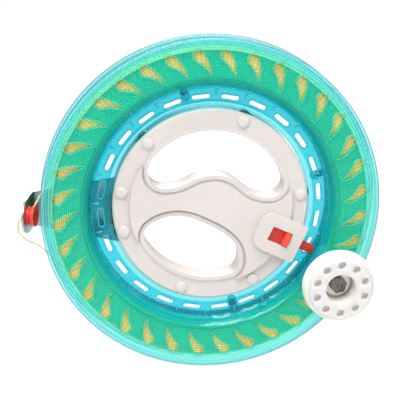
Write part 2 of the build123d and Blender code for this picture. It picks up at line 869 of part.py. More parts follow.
with BuildPart() as guide_eyelet:
    with BuildSketch(tab_plane(eyelet_back)):
        Circle(eyelet_neck_r)
    extrude(amount=eyelet_front - eyelet_back)
    with BuildSketch(tab_plane(sheet_t / 2)):
        Circle(eyelet_collar_r)
    extrude(amount=eyelet_collar_t)
    with BuildSketch(tab_plane(eyelet_front - eyelet_flange_t)):
        Circle(eyelet_flange_r)
    extrude(amount=eyelet_flange_t)
    with BuildSketch(tab_plane(eyelet_back)):
        Circle(eyelet_bore_r)
    extrude(amount=eyelet_front - eyelet_back, mode=Mode.SUBTRACT)
    chamfer(
        faces().sort_by(Axis((0, 0, 0), tab_plane().z_dir))[-1].edges().sort_by(SortBy.RADIUS)[0],
        eyelet_mouth_r - eyelet_bore_r,
    )

save(guide_eyelet, "guide_eyelet")

with BuildPart() as eyelet_keeper:
    with BuildSketch(tab_plane(eyelet_back)):
        Circle(keeper_r)
        Circle(eyelet_neck_r + eyelet_hole_gap, mode=Mode.SUBTRACT)
    extrude(amount=keeper_t)

save(eyelet_keeper, "eyelet_keeper")

# ---------------------------------------------------------------------------------------------------
# Free line: straight runs joined by arcs, each as large as its two runs allow
# ---------------------------------------------------------------------------------------------------

route = [Vector(*point) for point in free_line_points]
runs = [end - start for start, end in zip(route, route[1:])]
arc_radii = []
for before, after in zip(runs, runs[1:]):
    half_turn = radians(before.get_angle(after) / 2)
    arc_radii.append(0.45 * min(before.length, after.length) / tan(half_turn))
print("free line radii", [round(radius, 1) for radius in arc_radii])

with BuildPart() as free_line:
    with BuildLine() as free_path:
        FilletPolyline(*route, radius=arc_radii)
    with BuildSketch(Plane(free_path.wire() @ 0, z_dir=free_path.wire() % 0)):
        RegularPolygon(line_d / 2, line_sides)
    sweep()

save(free_line, "free_line")
free_length = free_path.wire().length
line_section = line_sides / 2 * (line_d / 2) ** 2 * sin(2 * pi / line_sides)
print("free line", round(free_length, 1), round(free_line.part.volume / (line_section * free_length), 4))
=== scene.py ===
from math import atan2, cos, hypot, pi, radians, sin

import bmesh
import bpy
from mathutils import Matrix, Vector


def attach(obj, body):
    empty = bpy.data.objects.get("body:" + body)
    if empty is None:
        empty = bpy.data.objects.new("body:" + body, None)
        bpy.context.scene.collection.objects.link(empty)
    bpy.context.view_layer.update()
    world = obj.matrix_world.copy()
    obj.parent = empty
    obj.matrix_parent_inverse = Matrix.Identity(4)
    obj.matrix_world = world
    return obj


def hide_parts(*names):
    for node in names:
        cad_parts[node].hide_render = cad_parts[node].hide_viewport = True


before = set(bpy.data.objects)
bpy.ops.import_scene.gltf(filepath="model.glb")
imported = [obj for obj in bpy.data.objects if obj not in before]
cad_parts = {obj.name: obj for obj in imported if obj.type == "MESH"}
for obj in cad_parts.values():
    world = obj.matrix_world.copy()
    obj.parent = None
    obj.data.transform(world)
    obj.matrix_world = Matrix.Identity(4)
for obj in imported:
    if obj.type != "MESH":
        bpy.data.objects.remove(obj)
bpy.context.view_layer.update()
mm = 0.001

# ------------------------------------------------------------------------------------------------
# Camera: a little to the left of the winder and above it, as the photograph was taken, on a long
# lens from three quarters of a metre.
# ------------------------------------------------------------------------------------------------

camera_turn = radians(-6.7)
camera_rise = radians(16.7)
camera_aim = Vector((-8.1, -22.5, 6.2)) * mm
camera_distance = 0.75
camera_back = Vector(
    (sin(camera_turn) * cos(camera_rise), -cos(camera_turn) * cos(camera_rise), sin(camera_rise))
)
camera = bpy.data.objects.new("camera", bpy.data.cameras.new("camera"))
camera.data.lens = 105.3
camera.data.sensor_width = 36.0
camera.location = camera_aim + camera_back * camera_distance
camera.rotation_euler = (-camera_back).to_track_quat("-Z", "Y").to_euler()
bpy.context.collection.objects.link(camera)
bpy.context.scene.camera = camera
bpy.context.scene.view_settings.view_transform = "Standard"

# ------------------------------------------------------------------------------------------------
# Free line: braided kite line, 1.2 mm thick. It leaves the winding on the guide's side, runs out
# through the eyelet, hangs in one slack loop and lies back between the flanges.
# ------------------------------------------------------------------------------------------------


def shader(name):
    """A new node material, with its tree and its Principled node."""
    material = bpy.data.materials.new(name)
    material.use_nodes = True
    tree = material.node_tree
    return material, tree, tree.nodes["Principled BSDF"]


def join(tree, source, target):
    """Links one node's output to another node's input."""
    tree.links.new(source, target)


def add_node(tree, kind, **settings):
    """A new node of a kind, with its own settings."""
    node = tree.nodes.new(kind)
    for key, value in settings.items():
        setattr(node, key, value)
    return node


def add_grain(tree, principled, scale, strength, depth, detail=3.0):
    """Fine relief from a noise in the piece's own space. Returns the noise and its coordinates."""
    place = add_node(tree, "ShaderNodeTexCoord")
    noise = add_node(tree, "ShaderNodeTexNoise")
    noise.inputs["Scale"].default_value = scale
    noise.inputs["Detail"].default_value = detail
    bump = add_node(tree, "ShaderNodeBump")
    bump.inputs["Strength"].default_value = strength
    bump.inputs["Distance"].default_value = depth
    join(tree, place.outputs["Object"], noise.inputs["Vector"])
    join(tree, noise.outputs["Fac"], bump.inputs["Height"])
    join(tree, bump.outputs["Normal"], principled.inputs["Normal"])
    return noise, place


def add_blend(tree, fac, low, high):
    """A colour ramp between two colours."""
    ramp = add_node(tree, "ShaderNodeValToRGB")
    ramp.color_ramp.elements[0].position = 0.35
    ramp.color_ramp.elements[1].position = 0.65
    ramp.color_ramp.elements[0].color = (*low, 1.0)
    ramp.color_ramp.elements[1].color = (*high, 1.0)
    join(tree, fac, ramp.inputs["Fac"])
    return ramp.outputs["Color"]


line_thickness = 1.2 * mm
free_line_points = (
    (-94.1, -12.0, 42.7),
    (-114.3, -13.2, -2.3),
    (-123.2, -10.7, -5.0),
    (-125.6, -10.4, -13.2),
    (-121.0, -10.8, -20.2),
    (-112.6, -11.2, -23.4),
    (-104.2, -11.6, -31.2),
    (-94.1, -12.0, -42.6),
)

kite_line, tree, surface = shader("braided_kite_line")
noise, place = add_grain(tree, surface, 900.0, 0.5, 0.0002)
straw = add_blend(tree, noise.outputs["Fac"], (0.74, 0.68, 0.36), (0.88, 0.84, 0.56))
join(tree, straw, surface.inputs["Base Color"])
surface.inputs["Roughness"].default_value = 0.62

curve = bpy.data.curves.new("free_line_run", "CURVE")
curve.dimensions = "3D"
curve.bevel_depth = line_thickness / 2
curve.bevel_resolution = 3
curve.resolution_u = 16
curve.use_fill_caps = True
spline = curve.splines.new("NURBS")
spline.points.add(len(free_line_points) - 1)
for point, place_mm in zip(spline.points, free_line_points):
    point.co = (*(v * mm for v in place_mm), 1.0)
spline.order_u = 3
spline.use_endpoint_u = True
curve.materials.append(kite_line)
free_line_run = bpy.data.objects.new("free_line_run", curve)
bpy.context.collection.objects.link(free_line_run)
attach(free_line_run, "hub")
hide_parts("free_line")

# ------------------------------------------------------------------------------------------------
# Wheel: two injection-moulded halves of clear cyan plastic, screwed together. The front one has the
# comma windows, the drum and the slotted ring; the rear one is a plain flange.
# ------------------------------------------------------------------------------------------------

bands_inner = 60.0
bands_outer = 112.0
bands_width = bands_outer - bands_inner
ripple_pitch = 1.7


def dressed(node, name, body, materials, bevel=0.0, smooth_angle=35.0, flats_first=False):
    """A welded and smoothly shaded piece with a node's own shape, which takes the node's place.

    With flats_first its broad flat faces keep their own shading, and the narrow ones bend to them.
    """
    mesh = bpy.data.meshes.new(name)
    shell = bmesh.new()
    shell.from_mesh(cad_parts[node].data)
    bmesh.ops.remove_doubles(shell, verts=shell.verts, dist=2e-6)
    shell.to_mesh(mesh)
    shell.free()
    for polygon in mesh.polygons:
        polygon.use_smooth = True
        polygon.material_index = 0
    mesh.set_sharp_from_angle(angle=radians(smooth_angle))
    mesh.materials.clear()
    for material in materials:
        mesh.materials.append(material)
    piece = bpy.data.objects.new(name, mesh)
    bpy.context.collection.objects.link(piece)
    if bevel:
        rounding = piece.modifiers.new("rounding", "BEVEL")
        rounding.width = bevel
        rounding.segments = 2
        rounding.limit_method = "ANGLE"
        rounding.angle_limit = radians(smooth_angle)
        rounding.use_clamp_overlap = True
        rounding.harden_normals = True
    if flats_first:
        shading = piece.modifiers.new("shading", "WEIGHTED_NORMAL")
        shading.keep_sharp = True
        shading.weight = 80
    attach(piece, body)
    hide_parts(node)
    return piece


def radius_from_axis(tree):
    """The distance from the wheel's axis, from 0 at the bands' inner to 1 at their outer radius."""
    place = add_node(tree, "ShaderNodeTexCoord")
    flat = add_node(tree, "ShaderNodeVectorMath", operation="MULTIPLY")
    flat.inputs[1].default_value = (1.0, 0.0, 1.0)
    length = add_node(tree, "ShaderNodeVectorMath", operation="LENGTH")
    span = add_node(tree, "ShaderNodeMapRange")
    span.inputs["From Min"].default_value = bands_inner * mm
    span.inputs["From Max"].default_value = bands_outer * mm
    join(tree, place.outputs["Object"], flat.inputs[0])
    join(tree, flat.outputs["Vector"], length.inputs[0])
    join(tree, length.outputs["Value"], span.inputs["Value"])
    return span.outputs["Result"]


def banded(tree, fac, stops):
    """A ramp over the radius, from stops of (radius in mm, colour)."""
    ramp = add_node(tree, "ShaderNodeValToRGB")
    elements = ramp.color_ramp.elements
    while len(elements) < len(stops):
        elements.new(0.5)
    for element, (radius, colour) in zip(elements, stops):
        element.position = (radius - bands_inner) / bands_width
        element.color = (*colour, 1.0)
    join(tree, fac, ramp.inputs["Fac"])
    return ramp.outputs["Color"]


def clear_plastic(name, bands, relief):
    """Tinted see-through plastic with a gloss. Bands hold radius, tint, body colour and solidity."""
    material, tree, surface = shader(name)
    reach = radius_from_axis(tree)
    tints = banded(tree, reach, [(radius, tint) for radius, tint, body, solid in bands])
    bodies = banded(tree, reach, [(radius, body) for radius, tint, body, solid in bands])
    shares = banded(tree, reach, [(radius, (solid,) * 3) for radius, tint, body, solid in bands])
    clear = add_node(tree, "ShaderNodeBsdfTransparent")
    mix = add_node(tree, "ShaderNodeMixShader")
    join(tree, tints, clear.inputs["Color"])
    join(tree, bodies, surface.inputs["Base Color"])
    join(tree, shares, mix.inputs["Fac"])
    surface.inputs["Roughness"].default_value = 0.16
    surface.inputs["IOR"].default_value = 1.5
    surface.inputs["Coat Weight"].default_value = 1.0
    surface.inputs["Coat Roughness"].default_value = 0.12
    rings = add_node(tree, "ShaderNodeMath", operation="SINE")
    turns = add_node(tree, "ShaderNodeMath", operation="MULTIPLY")
    turns.inputs[1].default_value = 2 * pi * bands_width / ripple_pitch
    join(tree, reach, turns.inputs[0])
    join(tree, turns.outputs[0], rings.inputs[0])
    bump = add_node(tree, "ShaderNodeBump")
    bump.inputs["Strength"].default_value = relief
    bump.inputs["Distance"].default_value = 0.0003
    join(tree, rings.outputs[0], bump.inputs["Height"])
    join(tree, bump.outputs["Normal"], surface.inputs["Normal"])
    join(tree, clear.outputs["BSDF"], mix.inputs[1])
    join(tree, surface.outputs["BSDF"], mix.inputs[2])
    join(tree, mix.outputs["Shader"], tree.nodes["Material Output"].inputs["Surface"])
    return material


# Radius in mm, tint, body colour and solidity, from the race outward to the rim
wheel_bands_and_painted_light = (
    (64.5, (0.60, 0.94, 0.97), (0.15, 0.70, 0.80), 0.08),
    (67.9, (0.52, 0.92, 0.95), (0.15, 0.70, 0.80), 0.10),
    (68.3, (0.25, 0.83, 0.90), (0.02, 0.55, 0.68), 0.18),
    (76.6, (0.25, 0.83, 0.90), (0.02, 0.55, 0.68), 0.18),
    # Throat: its dark bands are painted shade in the recess, and the pale lines between them are painted
    # highlights on its rings.
    (77.3, (0.10, 0.72, 0.80), (0.005, 0.44, 0.56), 0.36),
    (78.2, (0.22, 0.96, 0.92), (0.01, 0.78, 0.84), 0.28),
    (79.0, (0.08, 0.72, 0.80), (0.005, 0.44, 0.54), 0.45),
    (79.8, (0.22, 0.96, 0.92), (0.01, 0.80, 0.80), 0.28),
    (80.7, (0.08, 0.74, 0.78), (0.005, 0.46, 0.52), 0.42),
    (81.5, (0.24, 0.97, 0.90), (0.01, 0.80, 0.72), 0.25),
    (82.0, (0.10, 0.74, 0.74), (0.005, 0.46, 0.48), 0.40),
    (82.6, (0.26, 0.97, 0.88), (0.01, 0.74, 0.64), 0.20),
    (83.8, (0.26, 0.97, 0.88), (0.01, 0.74, 0.64), 0.20),
    (84.3, (0.12, 0.78, 0.74), (0.005, 0.46, 0.44), 0.35),
    (84.9, (0.34, 1.00, 0.93), (0.04, 0.64, 0.66), 0.22),
    (102.3, (0.34, 1.00, 0.93), (0.04, 0.64, 0.66), 0.22),
    # Rim: its pale lines are painted highlights on the ridges, and the dark lines at 107.9 and 109.9 mm are
    # painted shade.
    (102.8, (0.66, 1.00, 0.92), (0.45, 0.92, 0.76), 0.40),
    (103.3, (0.36, 0.92, 0.80), (0.10, 0.70, 0.50), 0.25),
    (104.5, (0.38, 0.93, 0.84), (0.12, 0.74, 0.58), 0.25),
    (104.9, (0.74, 1.00, 0.97), (0.60, 0.96, 0.92), 0.40),
    (105.4, (0.46, 0.94, 0.96), (0.12, 0.76, 0.82), 0.18),
    (107.4, (0.54, 0.95, 0.97), (0.15, 0.78, 0.85), 0.18),
    (107.9, (0.20, 0.66, 0.72), (0.02, 0.36, 0.44), 0.40),
    (108.4, (0.68, 0.97, 0.99), (0.40, 0.90, 0.95), 0.25),
    (109.4, (0.68, 0.97, 0.99), (0.40, 0.90, 0.95), 0.25),
    (109.9, (0.20, 0.58, 0.62), (0.03, 0.30, 0.34), 0.50),
)
clear_cyan = clear_plastic("clear_cyan_plastic", wheel_bands_and_painted_light, relief=0.06)
wheel_face = dressed("wheel_front", "wheel_face", "wheel", [clear_cyan], flats_first=True)
wheel_back = dressed("wheel_rear", "wheel_back", "wheel", [clear_cyan], flats_first=True)

# ------------------------------------------------------------------------------------------------
# Window borders: each comma window has a raised round edge, moulded with the front half. There are
# 34, ten degrees apart, and none under the crank.
# ------------------------------------------------------------------------------------------------

flange_face = -20.8 * mm
border_width = 0.9
border_rise = 0.5
window_head_at = 99.2
window_head_radius = 3.4
window_head_ends = (-55.0, 130.0)
window_tail = (86.0, -7.4)
window_hook = 1.1
window_count = 34
window_pitch = 10.0
first_window = -15.0


def arc_points(centre, start, end, left, steps):
    """Points of an arc about a centre, from a start up to an end point, that turns left or right."""
    radius = hypot(start[0] - centre[0], start[1] - centre[1])
    low = atan2(start[1] - centre[1], start[0] - centre[0])
    high = atan2(end[1] - centre[1], end[0] - centre[0])
    sweep = (high - low) % (2 * pi) if left else -((low - high) % (2 * pi))
    angles = [low + sweep * step / steps for step in range(steps)]
    return [(centre[0] + radius * cos(angle), centre[1] + radius * sin(angle)) for angle in angles]


def comma_outline():
    """The window's edge, anticlockwise, with its head on the x axis, in mm."""
    centre = (window_head_at, 0.0)
    low, high = (radians(angle) for angle in window_head_ends)
    head_low = (centre[0] + window_head_radius * cos(low), centre[1] + window_head_radius * sin(low))
    head_high = (centre[0] + window_head_radius * cos(high), centre[1] + window_head_radius * sin(high))
    # The lower side leaves the head along its circle
    way = Vector((sin(low), -cos(low)))
    side = Vector((-way.y, way.x))
    chord = Vector(window_tail) - Vector(head_low)
    lower_centre = Vector(head_low) + side * (chord.length_squared / (2 * side.dot(chord)))
    # The upper side is hollow by the hook
    chord = Vector(window_tail) - Vector(head_high)
    right = Vector((chord.y, -chord.x)).normalized()
    bow = (chord.length / 2) ** 2 / (2 * window_hook) - window_hook / 2
    upper_centre = Vector(head_high) + chord / 2 + right * bow
    points = arc_points(centre, head_low, head_high, True, 16)
    points += arc_points(upper_centre, head_high, window_tail, False, 10)
    points += arc_points(lower_centre, window_tail, head_low, True, 12)
    return points


def geometry_tree(name, sizes):
    """A Geometry Nodes tree with a named input for each size."""
    tree = bpy.data.node_groups.new(name, "GeometryNodeTree")
    tree.interface.new_socket("Geometry", in_out="INPUT", socket_type="NodeSocketGeometry")
    for label, value in sizes.items():
        kind = "NodeSocketInt" if isinstance(value, int) else "NodeSocketFloat"
        tree.interface.new_socket(label, in_out="INPUT", socket_type=kind)
    tree.interface.new_socket("Geometry", in_out="OUTPUT", socket_type="NodeSocketGeometry")
    tree.nodes.new("NodeGroupInput")
    tree.nodes.new("NodeGroupOutput")
    return tree


def finish_tree(tree, geometry, material):
    """Ends a tree in Realize Instances and Set Material."""
    real = add_node(tree, "GeometryNodeRealizeInstances")
    paint = add_node(tree, "GeometryNodeSetMaterial")
    paint.inputs["Material"].default_value = material
    join(tree, geometry, real.inputs["Geometry"])
    join(tree, real.outputs["Geometry"], paint.inputs["Geometry"])
    join(tree, paint.outputs["Geometry"], tree.nodes["Group Output"].inputs["Geometry"])


def placed(name, mesh, body):
    """A piece with a mesh of its own that rides on a body."""
    piece = bpy.data.objects.new(name, mesh)
    bpy.context.collection.objects.link(piece)
    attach(piece, body)
    return piece


def grown(name, tree, sizes, seed_mesh, body):
    """Runs a tree on a mesh and keeps the result as a plain piece that rides on a body."""
    seed = bpy.data.objects.new(name + "_seed", seed_mesh)
    bpy.context.collection.objects.link(seed)
    modifier = seed.modifiers.new("grow", "NODES")
    modifier.node_group = tree
    for item in tree.interface.items_tree:
        if item.name in sizes:
            modifier[item.identifier] = sizes[item.name]
    graph = bpy.context.evaluated_depsgraph_get()
    mesh = bpy.data.meshes.new_from_object(seed.evaluated_get(graph), depsgraph=graph)
    mesh.name = name
    bpy.data.objects.remove(seed)
    return placed(name, mesh, body)


def swept_loop(name, points, normals, section, height):
    """A closed bead: a section of (out, up) points carried round a loop of points, in mm."""
    shell = bmesh.new()
    rows = []
    for (x, z), (nx, nz) in zip(points, normals):
        rows.append(
            [shell.verts.new(((x + nx * out) * mm, height - up * mm, (z + nz * out) * mm)) for out, up in section]
        )
    for row, after in zip(rows, rows[1:] + rows[:1]):
        for index in range(len(section)):
            nearby = (index + 1) % len(section)
            face = shell.faces.new((row[index], row[nearby], after[nearby], after[index]))
            face.smooth = True
    bmesh.ops.recalc_face_normals(shell, faces=shell.faces)
    mesh = bpy.data.meshes.new(name)
    shell.to_mesh(mesh)
    shell.free()
    return mesh


def outward_normals(outline):
    """The directions away from a closed anticlockwise outline, one for each of its points."""
    outward = []
    for index in range(len(outline)):
        way = (Vector(outline[(index + 1) % len(outline)]) - Vector(outline[index - 1])).normalized()
        outward.append((way.y, -way.x))
    return outward


def half_round(width, rise, sunk=0.3):
    """The section of a half-round bead on a face, as (out, up) points in mm."""
    half = width / 2
    section = [(half + half * cos(radians(a)), rise * sin(radians(a))) for a in (0, 36, 72, 108, 144, 180)]
    return section + [(0.0, -sunk), (width, -sunk)]


def round_the_wheel(name, seed_mesh, count, pitch, first, material):
    """Copies of a mesh at equal angles about the wheel's axis, in degrees, that ride on the wheel."""
    sizes = {"Count": count, "Pitch": -radians(pitch), "First": -radians(first)}
    tree = geometry_tree(name, sizes)
    given = tree.nodes["Group Input"]
    spots = add_node(tree, "GeometryNodeMeshLine")
    spots.inputs["Offset"].default_value = (0.0, 0.0, 0.0)
    number = add_node(tree, "GeometryNodeInputIndex")
    turn = add_node(tree, "ShaderNodeMath", operation="MULTIPLY_ADD")
    spin = add_node(tree, "ShaderNodeCombineXYZ")
    place_all = add_node(tree, "GeometryNodeInstanceOnPoints")
    join(tree, given.outputs["Count"], spots.inputs["Count"])
    join(tree, number.outputs["Index"], turn.inputs[0])
    join(tree, given.outputs["Pitch"], turn.inputs[1])
    join(tree, given.outputs["First"], turn.inputs[2])
    join(tree, turn.outputs[0], spin.inputs["Y"])
    join(tree, spots.outputs["Mesh"], place_all.inputs["Points"])
    join(tree, given.outputs["Geometry"], place_all.inputs["Instance"])
    join(tree, spin.outputs["Vector"], place_all.inputs["Rotation"])
    finish_tree(tree, place_all.outputs["Instances"], material)
    return grown(name, tree, sizes, seed_mesh, "wheel")


def clear_edge(name, low, high, tint, solidity):
    """The same clear plastic on raised edges and beads, with colours, a tint and a solidity of its own."""
    material, tree, surface = shader(name)
    noise, place = add_grain(tree, surface, 300.0, 0.15, 0.0002)
    join(tree, add_blend(tree, noise.outputs["Fac"], low, high), surface.inputs["Base Color"])
    surface.inputs["Roughness"].default_value = 0.2
    clear = add_node(tree, "ShaderNodeBsdfTransparent")
    clear.inputs["Color"].default_value = (*tint, 1.0)
    mix = add_node(tree, "ShaderNodeMixShader")
    mix.inputs["Fac"].default_value = solidity
    join(tree, clear.outputs["BSDF"], mix.inputs[1])
    join(tree, surface.outputs["BSDF"], mix.inputs[2])
    join(tree, mix.outputs["Shader"], tree.nodes["Material Output"].inputs["Surface"])
    return material


outline = comma_outline()
border_section = half_round(border_width, border_rise)
border_mesh = swept_loop("window_border", outline, outward_normals(outline), border_section, flange_face)
# Its body is paler than the flange's: a painted highlight on the raised edge.
green_edge_with_highlight = clear_edge("raised_green_edge", (0.16, 0.66, 0.52), (0.26, 0.78, 0.62), (0.55, 0.97, 0.9), 0.3)
round_the_wheel(
    "window_borders", border_mesh, window_count, window_pitch, first_window, green_edge_with_highlight
)

# ------------------------------------------------------------------------------------------------
# Slotted ring's relief: a raised edge round each slot, and a short rib from each lock tooth toward
# the hub, moulded with the front half.
# ------------------------------------------------------------------------------------------------

ring_face = -13.0 * mm
slot_count = 24
slot_pitch_r = 71.6
slot_length = 11.7
slot_width = 3.0
first_slot = 5.0
slot_edge_width = 0.8
slot_edge_rise = 0.45
rib_reach = (72.6, 76.2)
rib_width = 1.1
rib_rise = 0.7
rib_sunk = 0.2

slot_outline = []
for end, low in ((1, 0), (-1, 180)):
    for step in range(9):
        angle = radians(low + 22.5 * step)
        across = slot_width / 2 * cos(angle)
        along = slot_width / 2 * sin(angle) + end * (slot_length - slot_width) / 2
        slot_outline.append((slot_pitch_r + across, along))
slot_section = half_round(slot_edge_width, slot_edge_rise)
slot_mesh = swept_loop("slot_edge", slot_outline, outward_normals(slot_outline), slot_section, ring_face)
bright_edge = clear_edge("raised_cyan_edge", (0.10, 0.66, 0.76), (0.16, 0.76, 0.84), (0.4, 0.9, 0.95), 0.5)
round_the_wheel(
    "slot_edges", slot_mesh, slot_count, 360 / slot_count, first_slot, bright_edge
)

shell = bmesh.new()
for r in rib_reach:
    for out, up in half_round(rib_width, rib_rise, rib_sunk):
        shell.verts.new((r * mm, ring_face - up * mm, (out - rib_width / 2) * mm))
shell.verts.ensure_lookup_table()
points = len(shell.verts) // 2
for index in range(points):
    nearby = (index + 1) % points
    corners = (index, nearby, points + nearby, points + index)
    shell.faces.new([shell.verts[corner] for corner in corners])
shell.faces.new([shell.verts[index] for index in range(points)])
shell.faces.new([shell.verts[points + index] for index in range(points)])
bmesh.ops.recalc_face_normals(shell, faces=shell.faces)
rib_mesh = bpy.data.meshes.new("rib")
shell.to_mesh(rib_mesh)
shell.free()
round_the_wheel(
    "ring_ribs", rib_mesh, slot_count, 360 / slot_count, first_slot + 180 / slot_count, bright_edge
)

# ------------------------------------------------------------------------------------------------
# Rim beads: fine raised rings, moulded on the front rim and just outside the windows, that stiffen
# the flange; their pale colour is a painted highlight of the light they catch.
# ------------------------------------------------------------------------------------------------

rim_beads_at = ((103.4, 20.8), (104.8, 20.8), (106.6, 21.3), (108.0, 22.0))
bead_width = 0.6
bead_rise = 0.35
bead_sunk = 0.15


def lathed(name, loops, around):
    """A mesh of closed (radius, height) loops in mm, turned about the wheel's axis."""
    shell = bmesh.new()
    for loop in loops:
        rows = []
        for step in range(around):
            angle = 2 * pi * step / around
            rows.append([shell.verts.new((r * mm * cos(angle), -h * mm, r * mm * sin(angle))) for r, h in loop])
        for row, after in zip(rows, rows[1:] + rows[:1]):
            for index in range(len(loop)):
                nearby = (index + 1) % len(loop)
                shell.faces.new((row[index], row[nearby], after[nearby], after[index])).smooth = True
    bmesh.ops.recalc_face_normals(shell, faces=shell.faces)
    mesh = bpy.data.meshes.new(name)
    shell.to_mesh(mesh)
    shell.free()
    mesh.set_sharp_from_angle(angle=radians(60))
    return mesh


bead = [(out - bead_width / 2, up) for out, up in half_round(bead_width, bead_rise, bead_sunk)]
# A pale body colour: painted highlight on the beads.
pale_edge_painted_highlight = clear_edge("raised_pale_edge", (0.44, 0.82, 0.60), (0.56, 0.90, 0.72), (0.55, 0.97, 0.9), 0.4)
mesh = lathed("rim_beads", [[(r + out, h + up) for out, up in bead] for r, h in rim_beads_at], around=180)
mesh.materials.append(pale_edge_painted_highlight)
placed("rim_beads", mesh, "wheel")

# ------------------------------------------------------------------------------------------------
# Wound line: the drum is full of line. The two sides of the winding show the turns' layers as fine
# rings, and its outer layer is one unbroken run of line.
# ------------------------------------------------------------------------------------------------

winding_back = 5.75
winding_front = 18.95
winding_middle = 12.35
drum_wall_r = 79.5
throat_root_h = 12.9
throat_r = 84.1
layer_pitch = 1.2
layer_sunk = 0.45
layer_bulge = 0.4
layers_end_r = 101.15
golden_angle = 2.399
lay_lean = 110.0
lay_pitch = 1.6
outer_layer_r = 101.8
outer_turns = 10.5
outer_pitch = 1.25

wound_line, tree, surface = shader("wound_kite_line")
reach = radius_from_axis(tree)
noise, place = add_grain(tree, surface, 700.0, 0.6, 0.0003)
coarse = add_node(tree, "ShaderNodeTexNoise")
coarse.inputs["Scale"].default_value = 60.0
join(tree, place.outputs["Object"], coarse.inputs["Vector"])
# Crossing turns: the lay leans across the layers, one way and then the other
split = add_node(tree, "ShaderNodeSeparateXYZ")
heading = add_node(tree, "ShaderNodeMath", operation="ARCTAN2")
join(tree, place.outputs["Object"], split.inputs["Vector"])
join(tree, split.outputs["Z"], heading.inputs[0])
join(tree, split.outputs["X"], heading.inputs[1])
lays = []
for lean, pitch in ((lay_lean, lay_pitch), (-lay_lean, lay_pitch), (0.0, layer_pitch)):
    lay = add_node(tree, "ShaderNodeMath", operation="MULTIPLY")
    lay.inputs[1].default_value = lean
    depth = add_node(tree, "ShaderNodeMath", operation="MULTIPLY_ADD")
    depth.inputs[1].default_value = 2 * pi * bands_width / pitch
    wave = add_node(tree, "ShaderNodeMath", operation="SINE")
    join(tree, heading.outputs[0], lay.inputs[0])
    join(tree, reach, depth.inputs[0])
    join(tree, lay.outputs[0], depth.inputs[2])
    join(tree, depth.outputs[0], wave.inputs[0])
    lays.append(wave.outputs[0])
cross = add_node(tree, "ShaderNodeMath", operation="MULTIPLY")
woven = add_node(tree, "ShaderNodeMath", operation="MULTIPLY_ADD")
woven.inputs[1].default_value = 0.5
shade = add_node(tree, "ShaderNodeMapRange")
shade.inputs["From Min"].default_value = -1.3
shade.inputs["From Max"].default_value = 1.0
join(tree, lays[0], cross.inputs[0])
join(tree, lays[1], cross.inputs[1])
join(tree, cross.outputs[0], woven.inputs[0])
join(tree, lays[2], woven.inputs[2])
join(tree, woven.outputs[0], shade.inputs["Value"])
# Dark brown where the waves dip between the turns: painted shade in the grooves.
tone = add_node(tree, "ShaderNodeMix", data_type="RGBA")
tone.inputs["A"].default_value = (0.42, 0.30, 0.07, 1.0)
join(tree, shade.outputs["Result"], tone.inputs["Factor"])
straw = add_blend(tree, coarse.outputs["Fac"], (0.90, 0.69, 0.23), (0.94, 0.84, 0.33))
join(tree, straw, tone.inputs["B"])
join(tree, tone.outputs["Result"], surface.inputs["Base Color"])
surface.inputs["Roughness"].default_value = 0.6


def side_rings(inner, outer, height, bulge):
    """Half-round layers of line across one side of the winding, as (radius, height) points."""
    points = []
    count = round((outer - inner) / layer_pitch)
    pitch = (outer - inner) / count
    for layer in range(count):
        for step in range(5):
            angle = pi * step / 5
            uneven = 0.8 + 0.2 * sin(layer * golden_angle)
            points.append((inner + pitch * (layer + (1 - cos(angle)) / 2), height + bulge * uneven * sin(angle)))
    points.append((outer, height))
    return points


profile = side_rings(throat_r, layers_end_r, winding_front - layer_sunk, layer_bulge)
profile += side_rings(drum_wall_r, layers_end_r, winding_back + layer_sunk, -layer_bulge)[::-1]
profile.append((drum_wall_r, throat_root_h))
mesh = lathed("line_layers", [profile], around=144)
mesh.materials.append(wound_line)
line_layers = placed("line_layers", mesh, "wheel")
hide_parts("winding_core")

layer_sizes = {
    "Turns": outer_turns,
    "Radius": outer_layer_r * mm,
    "Width": outer_turns * outer_pitch * mm,
    "Thickness": line_thickness,
    "Back": -(winding_middle - outer_turns * outer_pitch / 2) * mm,
}
tree = geometry_tree("unbroken_outer_layer", layer_sizes)
given = tree.nodes["Group Input"]
helix = add_node(tree, "GeometryNodeCurveSpiral")
helix.inputs["Resolution"].default_value = 96
upright = add_node(tree, "GeometryNodeTransform")
upright.inputs["Rotation"].default_value = (pi / 2, 0.0, 0.0)
shift = add_node(tree, "ShaderNodeCombineXYZ")
half_thick = add_node(tree, "ShaderNodeMath", operation="MULTIPLY")
half_thick.inputs[1].default_value = 0.5
section = add_node(tree, "GeometryNodeCurvePrimitiveCircle")
section.inputs["Resolution"].default_value = 8
tube = add_node(tree, "GeometryNodeCurveToMesh")
tube.inputs["Fill Caps"].default_value = True
soften = add_node(tree, "GeometryNodeSetShadeSmooth")
join(tree, given.outputs["Turns"], helix.inputs["Rotations"])
join(tree, given.outputs["Radius"], helix.inputs["Start Radius"])
join(tree, given.outputs["Radius"], helix.inputs["End Radius"])
join(tree, given.outputs["Width"], helix.inputs["Height"])
join(tree, given.outputs["Back"], shift.inputs["Y"])
join(tree, helix.outputs["Curve"], upright.inputs["Geometry"])
join(tree, shift.outputs["Vector"], upright.inputs["Translation"])
join(tree, upright.outputs["Geometry"], tube.inputs["Curve"])
join(tree, given.outputs["Thickness"], half_thick.inputs[0])
join(tree, half_thick.outputs[0], section.inputs["Radius"])
join(tree, section.outputs["Curve"], tube.inputs["Profile Curve"])
join(tree, tube.outputs["Mesh"], soften.inputs["Geometry"])
finish_tree(tree, soften.outputs["Geometry"], wound_line)
outer_layer = grown("outer_layer", tree, layer_sizes, bpy.data.meshes.new("none"), "wheel")
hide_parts("winding_turns")

# ------------------------------------------------------------------------------------------------
# Hub: two glossy warm white covers. The front one has the crowned grip, the lips round the finger
# openings and the brake's housing; the rear one closes the bearings in.
# ------------------------------------------------------------------------------------------------


